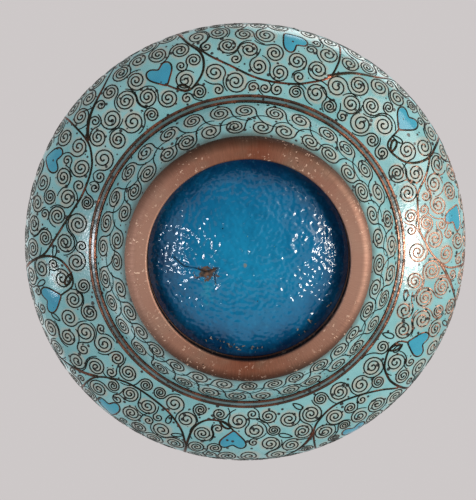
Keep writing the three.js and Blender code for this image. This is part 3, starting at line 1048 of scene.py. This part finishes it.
# Each coil of a row runs on round the outside of the next one.
def linkRow(stems, surface, coils, sweep):
    for i, coil in enumerate(coils):
        addTail(stems, surface, coil, coils[(i + 1) % len(coils)], sweep, 1.0)


skinLook = {"depth": 0.11, "back": 0.9, "unevenness": 0.05, "unevenSize": 5}


# A skin of enamel, with the insides of the coils as a vertex attribute.
def addSkin(name, zone, rows, columns, node, coils, seed):
    surface = surfaces[zone]
    points, faces, along, azimuth = turnedLayer(surface, rows, columns, skinLook["depth"], skinLook["back"],
                                                skinLook["unevenness"], skinLook["unevenSize"], seed)
    piece = addPiece(name, points, faces, materials["turquoise"], [node])
    tint = np.zeros(len(points))
    outer = tint[:len(along)]
    for coil in coils:
        away = separation(surface, azimuth, along, coil["spot"])
        np.maximum(outer, np.clip((coil["radius"] + 0.15 - away) / 0.4, 0, 1), out=outer)
    addAttribute(piece.data, "coil", "FLOAT", tint)
    return piece


def addWirework(name, zone, skin, coils, stems, vines, nodes, seed):
    surface = surfaces[zone]
    spots = makeCoilSpots(name + "Spots", surface, coils, seed)
    sweepWires(name + "_coils", stems, spots, skin, wires["coilWidth"], materials["coilWire"], [])
    if vines:
        nothing = bpy.data.objects.new(name + "NoSpots", bpy.data.meshes.new(name + "NoSpots"))
        sweepWires(name + "_vines", vines, nothing, skin, wires["vineWidth"], materials["vineWire"], nodes)


# ---- foot collar ----
def buildCollar():
    surface = surfaces["collar"]
    inner = rowOfCoils(2.7, 33, 2.1, 1, 3, 11)
    outer = rowOfCoils(7.25, 33, 2.2, -1, 8, 12)
    stems = newStems()
    linkRow(stems, surface, inner, 118)
    linkRow(stems, surface, outer, 118)
    coils = inner + outer
    skin = addSkin("collar_enamel", "collar", 26, 480, "foot_collar_enamel", coils, 3)
    addWirework("collar", "collar", skin, coils, stems, None, [], 13)


# ---- belly ----
def cellNodes(*rows):
    return [f"{row}_heart_cell_{i + 1}" for row in rows for i in range(5)]


def addLeaves(stems, surface, leaves, seed):
    rng = random.Random(seed)
    for leaf in leaves:
        turn = rng.uniform(0, 2 * math.pi)
        length = rng.uniform(2.3, 2.9)
        start = shifted(surface, leaf, -0.5 * length * math.cos(turn), -0.5 * length * math.sin(turn))
        loop = leafLoop(surface, start, turn, length, rng.uniform(1.05, 1.3))
        addStem(stems, surface, loop, 1.0, closed=True)


# Draws the hearts of a zone, then packs coils and leaves round the lines and makes its skin and wires.
def fillZone(zone, name, node, vines, lines, hearts, cells, ends, grid, seed, skinSeed):
    surface = surfaces[zone]
    for heart in hearts:
        line = heartLine(surface, heart)
        addStem(vines, surface, line, heartShape["wire"] / wires["vineWidth"], closed=True)
        addHeartFill(surface, heart)
    low, high = ends
    coils, leaves = packCoils(surface, low, surface["length"] - high, lines, [h["spot"] for h in hearts],
                              seed + 1)
    print(name, len(coils), "coils,", len(leaves), "leaves")
    stems = newStems()
    joinCoils(stems, surface, coils, seed + 2)
    addLeaves(stems, surface, leaves, seed + 3)
    skin = addSkin(name + "_skin", zone, *grid, node, coils, skinSeed)
    addWirework(name, zone, skin, coils, stems, vines, cells, seed + 4)


def buildLowerBelly():
    surface = surfaces["lowerBelly"]
    hearts = heartsOf("lower", surface) + heartsOf("side", surface)
    vines = newStems()
    lines = []
    for repeat, heart in zip(lowerVines, hearts):
        tipOfHeart = heartPoint(surface, heart, math.pi, 1.1)
        repeat["hook"] = (*repeat["hook"][:-1], tipOfHeart)
        for part, root, tip in (("hook", 1.3, 0.75), ("swag", 0.95, 0.85), ("branch", 1.5, 0.7)):
            line = smoothLine(surface, repeat[part])
            lines.append(line)
            addStem(vines, surface, line, taper(len(line), root, tip))
        bud, tip = repeat["hook"][-3], repeat["hook"][-1]
        line = leafLoop(surface, bud, bearing(surface, bud, tip), 2.6, 1.3)
        addStem(vines, surface, line, 1.0, closed=True)
    fillZone("lowerBelly", "belly_lower", "belly_lower_enamel", vines, lines, hearts,
             cellNodes("lower", "side"), (0.25, 0.1), (48, 640), 20, 4)


# The upper belly isn't seen from below, so its vine is a guess in the lower one's manner.
upperVine = {
    "hook": ((12, 0.3), (14.5, 6), (15, 13), (12.5, 19), (7, 22), (2.5, 21.4), (0.3, 19.4)),
    "swag": ((14.7, 12), (20, 19), (30, 24.5), (42, 25.5), (52, 21), (57, 12), (57, 0.3)),
    "branch": ((55, 18), (60, 24), (68, 28)),
    "tendril": ((30, 24.5), (34, 29.5), (42, 32)),
}


def buildUpperBelly():
    surface = surfaces["upperBelly"]
    hearts = heartsOf("upper", surface)
    vines = newStems()
    lines = []
    for heart in hearts:
        start = heart["spot"][0]
        for points in upperVine.values():
            line = smoothLine(surface, [(start + a, s) for a, s in points])
            lines.append(line)
            addStem(vines, surface, line, taper(len(line), 1.15, 0.75))
    fillZone("upperBelly", "belly_upper", "belly_upper_enamel", vines, lines, hearts,
             cellNodes("upper"), (0.1, 0.25), (76, 600), 30, 5)


# ---- neck and mouth, guessed in the same manner ----
def buildNeck():
    surface = surfaces["neck"]
    length = surface["length"]
    vines = newStems()
    lines = []
    for k in range(3):
        points = []
        for i in range(12):
            share = i / 11
            points.append((120 * k + 26 * math.sin(share * 9 + k), 0.3 + share * (length - 0.6)))
        line = smoothLine(surface, points)
        lines.append(line)
        addStem(vines, surface, line, taper(len(line), 1.15, 0.8))
    fillZone("neck", "neck", "neck_enamel", vines, lines, [], [], (0.25, 0.25), (120, 240), 40, 6)


def buildMouth():
    surface = surfaces["mouth"]
    stems = newStems()
    coils = []
    for along, count, hand, start in ((2.4, 19, 1, 0), (7, 20, -1, 8), (11.7, 22, 1, 3)):
        row = rowOfCoils(along, count, 1.95, hand, start, int(along * 10))
        linkRow(stems, surface, row, 110)
        coils += row
    skin = addSkin("mouth_skin", "mouth", 44, 240, "mouth_enamel", coils, 7)
    addWirework("mouth", "mouth", skin, coils, stems, None, [], 45)


# ---- borders: two copper strips with enamel between, a little uneven ----
borderShares = (0.3, 0.36)


def stripRing(surface, start, stop, crown, columns, seed):
    profile = []
    count = 5
    for i in range(count + 1):
        t = i / count
        lift = crown * math.sin(math.pi * t) ** 0.4 - skinLook["depth"] + 0.01
        profile.append((start + (stop - start) * t, lift))
    azimuth = np.arange(columns) * 360 / columns
    rows = []
    for s, lift in profile:
        base = onSurface(surface, s, azimuth, lift)
        rows.append(onSurface(surface, s, azimuth, lift + unevenness(base, 0.05, 1.6, seed)))
    for s in (stop, start):
        rows.append(onSurface(surface, np.full(columns, s), azimuth, -0.9))
    points = np.concatenate(rows)
    return points, closedGrid(len(rows), columns)


def buildBorder(place, curve, lowName, highName, columns, seed):
    surface = surfaceOf(curve)
    length = surface["length"]
    low, high = borderShares
    for share, name, material, slotName, crown in (
        ((0, low), f"{place}_border_wire_{lowName}", "borderWire", "wire_copper", 0.06),
        ((low + 0.02, 0.98 - high), f"{place}_border_enamel", "border", "border_enamel", 0.0),
        ((1 - high, 1), f"{place}_border_wire_{highName}", "borderWire", "wire_copper", 0.06),
    ):
        points, faces = stripRing(surface, share[0] * length, share[1] * length, crown, columns, seed)
        addPiece(name + "_strip", points, faces, materials[material], [name])
        seed += 1


# ---- foot ring ----
footRing = {"inner": 19.6, "outer": 24.0, "flatTo": 21.9, "flange": 21.6, "flangeTop": 6.0,
            "dent": 0.06, "columns": 640}


def buildFootRing():
    section = []
    inner, outer = footRing["inner"], footRing["outer"]
    for z in np.linspace(footRing["flangeTop"], 0.45, 10):
        section.append((inner, z))
    for i in range(1, 7):
        angle = math.pi / 2 * i / 6
        section.append((inner + 0.4 * (1 - math.cos(angle)), 0.45 - 0.4 * math.sin(angle)))
    for r in np.linspace(inner + 0.6, footRing["flatTo"], 8):
        section.append((r, 0.05))
    for i in range(1, 13):
        angle = math.pi / 2 * i / 12
        section.append((footRing["flatTo"] + 2.08 * math.sin(angle), 0.05 + 2.3 * (1 - math.cos(angle))))
    section.append((outer, 2.58))
    section.append((23.3, 3.17))
    section.append((22.4, 3.93))
    section.append((footRing["flange"], 4.6))
    section.append((footRing["flange"], footRing["flangeTop"]))
    points, faces = turnedSection(section, footRing["columns"], footRing["dent"], 4, 9)
    addPiece("foot_ring_turned", points, faces, materials["foot"], ["foot_ring"])


# ---- base: the poured enamel inside the foot ring ----
baseShape = {"radius": 19.5, "apex": 0.5, "rise": 4.0, "power": 2.6, "rings": 104, "columns": 512,
             "peel": 0.105, "peelSize": 0.8, "swell": 0.2, "swellSize": 5.0}
crater = {"x": 10.3, "y": -3.2, "radius": 2.5, "lip": 0.2, "width": 0.6}
crack = ((-14.5, -0.5), (-12.5, 1.2), (-10.3, 1.5), (-8.2, 2.2), (-6.0, 1.4), (-6.7, 2.6), (-6.4, 4.8))


def lineDistance(x, y, line):
    best = np.full(len(x), 99.0)
    for (ax, ay), (bx, by) in zip(line, line[1:]):
        dx, dy = bx - ax, by - ay
        t = np.clip(((x - ax) * dx + (y - ay) * dy) / (dx * dx + dy * dy), 0, 1)
        best = np.minimum(best, np.hypot(x - ax - t * dx, y - ay - t * dy))
    return best


def buildBase():
    radius = baseShape["radius"]
    rings, columns = baseShape["rings"], baseShape["columns"]
    reach = radius * (np.arange(1, rings + 1) / rings) ** 0.85
    angles = np.arange(columns) * 2 * math.pi / columns
    x = (reach[:, None] * np.cos(angles)).ravel()
    y = (reach[:, None] * np.sin(angles)).ravel()
    x = np.append(x, 0)
    y = np.append(y, 0)
    r = np.hypot(x, y)
    z = baseShape["apex"] + baseShape["rise"] * (r / radius) ** baseShape["power"]
    flat = np.stack((x, y, np.zeros(len(x))), axis=-1)
    peel = np.array([noise.noise(Vector(p) / baseShape["peelSize"]) for p in flat])
    fine = np.array([noise.noise(Vector(p) / 0.5 + Vector((9, 4, 2))) for p in flat])
    swell = np.array([noise.noise(Vector(p) / baseShape["swellSize"] + Vector((3, 1, 7))) for p in flat])
    calm = np.clip((radius - r) / 1.5, 0, 1)
    z += calm * (baseShape["peel"] * peel + 0.022 * fine + baseShape["swell"] * (swell + 0.5))
    lip = np.hypot(x - crater["x"], y - crater["y"]) - crater["radius"]
    z -= crater["lip"] * np.exp(-(lip / crater["width"]) ** 2) * calm
    split = lineDistance(x, y, crack)
    z += 0.3 * np.exp(-(split / 0.16) ** 2)
    chipX, chipY, chipReach = baseMarks["chip"]
    away = np.hypot((x - chipX) * 0.8, (y - chipY) * 1.25) / chipReach
    z += 0.22 * np.clip(1.2 - away, 0, 1) * (0.6 + 0.5 * peel)
    z = np.maximum(z, 0.3)
    lower = np.stack((x, y, z), axis=-1)
    top = baseShape["apex"] + baseShape["rise"] + 0.6
    rim = np.stack((radius * np.cos(angles), radius * np.sin(angles), np.full(columns, top)), axis=-1)
    crownTop = []
    for share in (0.8, 0.5):
        lift = baseShape["apex"] + 0.6 + baseShape["rise"] * share ** baseShape["power"]
        crownTop.append(np.stack((share * radius * np.cos(angles), share * radius * np.sin(angles),
                                  np.full(columns, max(lift, 1.6))), axis=-1))
    points = np.concatenate((lower, rim, *crownTop, [[0, 0, 1.6]])) * unit
    faces = []

    def band(first, second):
        for j in range(columns):
            k = (j + 1) % columns
            faces.append((first + j, first + k, second + k, second + j))

    for i in range(rings - 1):
        band(i * columns, (i + 1) * columns)
    centre = rings * columns
    for j in range(columns):
        faces.append((centre, (j + 1) % columns, j))
    band((rings - 1) * columns, centre + 1)
    band(centre + 1, centre + 1 + columns)
    band(centre + 1 + columns, centre + 1 + 2 * columns)
    last = len(points) - 1
    for j in range(columns):
        faces.append((centre + 1 + 2 * columns + j, centre + 1 + 2 * columns + (j + 1) % columns, last))
    piece = addPiece("base_poured_enamel", points, faces, materials["base"],
                     ["base_enamel"])
    stain = np.zeros(len(points))
    stain[:len(split)] = np.exp(-(split / 0.12) ** 2)
    addAttribute(piece.data, "crack", "FLOAT", stain)


# Grit caught in the well between the base and the ring.
crumbs = {"count": 30, "smallest": 0.2, "largest": 0.6, "flat": (1.2, 0.3, 0.25)}


def buildCrumbs():
    rng = random.Random(61)
    points, faces = [], []
    corners = [(1, 1, 1), (-1, -1, 1), (-1, 1, -1), (1, -1, -1), (0, 0, 1.7), (0, 0, -1.7)]
    sides = [(0, 4, 2), (0, 3, 4), (1, 4, 3), (1, 2, 4), (0, 2, 5), (0, 5, 3), (1, 3, 5), (1, 5, 2)]
    for _ in range(crumbs["count"]):
        lowerRight = rng.random() < 0.5
        angle = math.radians(rng.uniform(28, 58) if lowerRight else rng.uniform(78, 118))
        reach = rng.uniform(16.9, 18.8)
        size = rng.uniform(crumbs["smallest"], crumbs["largest"])
        height = baseShape["apex"] + baseShape["rise"] * (reach / baseShape["radius"]) ** baseShape["power"]
        turn = Euler((rng.uniform(0, 6), rng.uniform(0, 6), rng.uniform(0, 6))).to_matrix()
        start = len(points)
        for corner in corners:
            p = turn @ Vector([c * rng.uniform(0.6, 1.2) * size * k for c, k in zip(corner, crumbs["flat"])])
            points.append(((reach * math.cos(angle) + p.x) * unit, (reach * math.sin(angle) + p.y) * unit,
                           (height - 0.05 + p.z * 0.7) * unit))
        faces += [tuple(start + c for c in side) for side in sides]
    addPiece("well_crumbs", points, faces, materials["crumbs"], [], smooth=False)


# ---- inside ----
def buildLining():
    surface = surfaceOf(*outlineCurves)
    columns = 160
    azimuth = np.arange(columns) * 360 / columns
    along = np.linspace(0.3, surface["length"], 150)
    outer = onSurface(surface, along[:, None], azimuth[None, :], -1.96).reshape(-1, 3)
    wide = np.repeat(along[::-1], columns)
    spread = np.tile(azimuth, len(along))
    inner = onSurface(surface, wide, spread, -2.5)
    inner = onSurface(surface, wide, spread, -2.52 - unevenness(inner, 0.12, 3, 8))
    points = np.concatenate((outer, inner))
    faces = closedGrid(2 * len(along), columns)
    addPiece("body_counter_enamel", points, faces, materials["inside"],
             ["body_lining"])


rimBead = {"radius": 1.43, "centreR": 16.77, "centreZ": 113.86, "steps": 28, "columns": 256}


def buildRim():
    section = []
    for i in range(rimBead["steps"]):
        angle = 2 * math.pi * i / rimBead["steps"]
        section.append((rimBead["centreR"] + rimBead["radius"] * math.cos(angle),
                        rimBead["centreZ"] + rimBead["radius"] * math.sin(angle)))
    points, faces = turnedSection(section, rimBead["columns"], 0.04, 4, 15)
    addPiece("mouth_rim_bead", points, faces, materials["rim"], ["mouth_rim"])


buildCollar()
buildBorder("foot", "footStrip", "inner", "outer", 640, 51)
buildLowerBelly()
buildUpperBelly()
buildBorder("shoulder", "shoulderStrip", "lower", "upper", 400, 54)
buildNeck()
buildMouth()
buildBorder("mouth", "mouthStrip", "lower", "upper", 240, 57)
buildFootRing()
buildBase()
buildCrumbs()
buildLining()
buildRim()

# CAD nodes that are still shown are the covered copper and the hidden lining.
shownNodes = {"base_lining": "inside"}
for name in ("base_disc", "foot_collar", "belly_lower_shell", "belly_upper_shell", "neck_tube"):
    shownNodes[name] = "sheet"
for name, look in shownNodes.items():
    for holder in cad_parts[name].material_slots:
        holder.material = materials[look]
print("pieces built")


# ---- studio: pale floor, pale surroundings, soft window light ----
def addLight(name, place, aimHeight, width, height, power, colour):
    data = bpy.data.lights.new(name, "AREA")
    data.shape = "RECTANGLE"
    data.size = width
    data.size_y = height
    data.energy = power
    data.color = hexColour(colour)[:3]
    light = bpy.data.objects.new(name, data)
    light.location = place
    way = Vector((0, 0, aimHeight)) - Vector(place)
    light.rotation_euler = way.to_track_quat("-Z", "Y").to_euler()
    bpy.context.scene.collection.objects.link(light)


# Each light's place, the height it points at, its width and height in metres, watts and colour.
studioLights = {
    "rightWindow": ((0.56, 0.07, -0.54), 0.02, 0.22, 0.1, 2.4, "#fffaf2"),
    "rightSoft": ((0.68, -0.22, -0.34), 0.02, 0.7, 0.5, 3.4, "#fffaf2"),
    "leftWindow": ((-0.66, 0.177, -0.26), 0.02, 0.03, 0.15, 0.35, "#f4f8ff"),
    "leftGlint": ((-0.43, 0.08, -0.64), 0.02, 0.09, 0.14, 1.3, "#f4f8ff"),
    "topSoft": ((0.5, -0.9, 0.9), 0.05, 0.9, 0.9, 7, "#ffffff"),
    "topFill": ((-0.9, 0.4, 0.8), 0.05, 0.9, 0.9, 2.5, "#ffffff"),
}
studio = {
    "surroundings": "#cfcaca",
    "surroundingsStrength": 0.98,
    "floor": "#d8d4d0",
    "floorSize": 3.0,
    "card": {"left": -0.26, "right": 0.2, "low": -0.33, "high": 0.22, "z": -0.5},
}


def buildStudio():
    world = bpy.data.worlds.new("paleRoom")
    bpy.context.scene.world = world
    world.use_nodes = True
    world.node_tree.nodes.clear()
    sky = addNode(world.node_tree, "ShaderNodeBackground", {
        "Color": studio["surroundings"], "Strength": studio["surroundingsStrength"],
    })
    addNode(world.node_tree, "ShaderNodeOutputWorld", {"Surface": sky.outputs[0]})
    for name, setup in studioLights.items():
        addLight(name, *setup)
    # a dark card stands where somebody looking at the underside would be
    dark, tree, point = newMaterial("dark cloth card")
    cloth = addNode(tree, "ShaderNodeBsdfPrincipled", {"Base Color": "#2c2b2d", "Roughness": 0.9})
    addNode(tree, "ShaderNodeOutputMaterial", {"Surface": cloth.outputs[0]})
    card = studio["card"]
    corners = [(card["left"], card["low"], card["z"]), (card["left"], card["high"], card["z"]),
               (card["right"], card["high"], card["z"]), (card["right"], card["low"], card["z"])]
    addMesh("card", corners, [(0, 1, 2, 3)], dark, smooth=False)
    # the floor shows only its upper side, so the underside can be seen from below
    painted, tree, point = newMaterial("pale painted floor")
    colour = layered(tree, studio["floor"], (grain(tree, point, 60, 3, 0.2, 0.8), 1, "#d2cecb"))
    paint = addNode(tree, "ShaderNodeBsdfPrincipled", {"Base Color": colour, "Roughness": 0.6})
    backside = addNode(tree, "ShaderNodeNewGeometry").outputs["Backfacing"]
    clear = addNode(tree, "ShaderNodeBsdfTransparent")
    mixed = addNode(tree, "ShaderNodeMixShader", {0: backside, 1: paint.outputs[0], 2: clear.outputs[0]})
    addNode(tree, "ShaderNodeOutputMaterial", {"Surface": mixed.outputs[0]})
    half = studio["floorSize"] / 2
    corners = [(-half, -half, 0), (half, -half, 0), (half, half, 0), (-half, half, 0)]
    floor = addMesh("floor", corners, [(0, 1, 2, 3)], painted, smooth=False)
    for seenBy in ("diffuse", "glossy", "transmission", "shadow"):
        setattr(floor, "visible_" + seenBy, False)


buildStudio()

# Camera below the vase, looking up at its underside, a little from one side.
cameraSetup = {"aim": (0.0, 0.0, 23.5), "across": 1.33, "tilt": 8.11, "distance": 400.0, "lens": 141.06,
               "rightNudge": -1.55, "downNudge": 1.15}


def buildCamera():
    across = math.sin(math.radians(cameraSetup["across"]))
    tilt = math.sin(math.radians(cameraSetup["tilt"]))
    forward = Vector((across, tilt, math.sqrt(1 - across * across - tilt * tilt)))
    right = Vector((0, 1, 0)).cross(forward).normalized()
    down = forward.cross(right)
    aim = Vector(cameraSetup["aim"]) + right * cameraSetup["rightNudge"] + down * cameraSetup["downNudge"]
    place = (aim - forward * cameraSetup["distance"]) * unit
    data = bpy.data.cameras.new("underView")
    data.lens = cameraSetup["lens"]
    data.sensor_width = 36
    data.clip_start = 0.01
    data.dof.use_dof = False
    camera = bpy.data.objects.new("underView", data)
    camera.matrix_world = Matrix((right, -down, -forward)).transposed().to_4x4()
    camera.location = place
    bpy.context.scene.collection.objects.link(camera)
    bpy.context.scene.camera = camera


buildCamera()
bpy.context.scene.view_settings.view_transform = "Standard"
print("studio and camera set")
